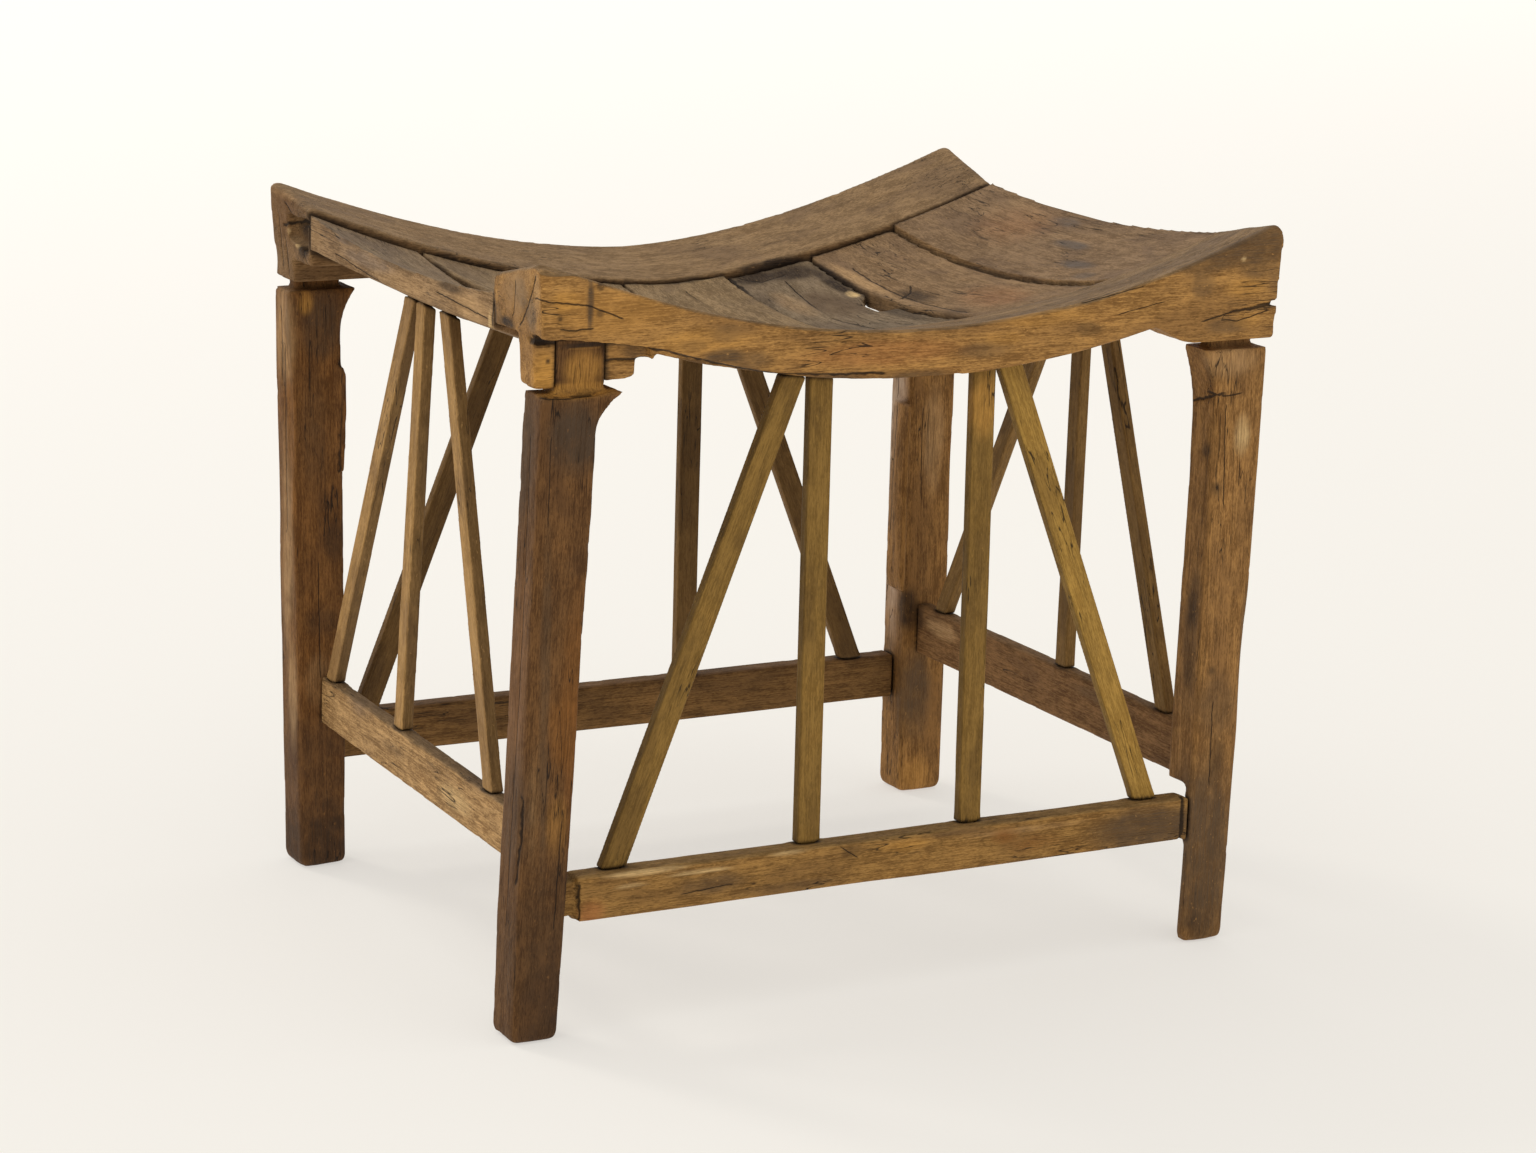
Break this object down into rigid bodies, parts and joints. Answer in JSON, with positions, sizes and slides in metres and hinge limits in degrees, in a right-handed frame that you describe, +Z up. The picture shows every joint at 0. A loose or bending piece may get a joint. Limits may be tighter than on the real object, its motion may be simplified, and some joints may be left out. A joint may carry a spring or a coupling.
{
  "type": "wooden stool",
  "caption": "Low rectangular joined wooden stool with a dished boarded seat, tapered legs, low stretchers and fanned lattice struts, worn and chipped with age.",
  "frame": {"origin": "centre of the stool's footprint box, on the floor under the feet", "axes": "+X along the long seat rails to the sitter's right when facing the back rail, +Y from the front rail to the back rail, +Z up"},
  "size_m": [0.4304, 0.341, 0.3867],
  "materials": {
    "front_rail_wood": "worn satin, golden brown",
    "back_rail_wood": "worn matt, greyish brown",
    "leg_wood": "worn satin, dark reddish brown",
    "long_stretcher_wood": "worn satin, brown with pale chips",
    "side_stretcher_wood": "worn matt, sandy brown",
    "strut_wood": "worn satin, olive brown",
    "seat_board_wood": "weathered matt, grey brown"
  },
  "bodies": {
    "root": {"seat_rail_front": "front_rail_wood", "seat_rail_back": "back_rail_wood", "leg_front_left": "leg_wood", "leg_front_right": "leg_wood", "leg_back_left": "leg_wood", "leg_back_right": "leg_wood", "stretcher_front": "long_stretcher_wood", "stretcher_back": "long_stretcher_wood", "stretcher_left": "side_stretcher_wood", "stretcher_right": "side_stretcher_wood", "end_board_left": "seat_board_wood", "end_board_right": "seat_board_wood", "slat_1": "seat_board_wood", "slat_2": "seat_board_wood", "slat_3": "seat_board_wood", "slat_4": "seat_board_wood", "slat_5": "seat_board_wood", "strut_front_outer_left": "strut_wood", "strut_front_upright_left": "strut_wood", "strut_front_upright_right": "strut_wood", "strut_front_outer_right": "strut_wood", "strut_back_outer_left": "strut_wood", "strut_back_upright_left": "strut_wood", "strut_back_upright_right": "strut_wood", "strut_back_outer_right": "strut_wood", "strut_left_outer_back": "strut_wood", "strut_left_upright": "strut_wood", "strut_left_outer_front": "strut_wood", "strut_right_outer_back": "strut_wood", "strut_right_upright": "strut_wood", "strut_right_outer_front": "strut_wood"}
  },
  "joints": []
}
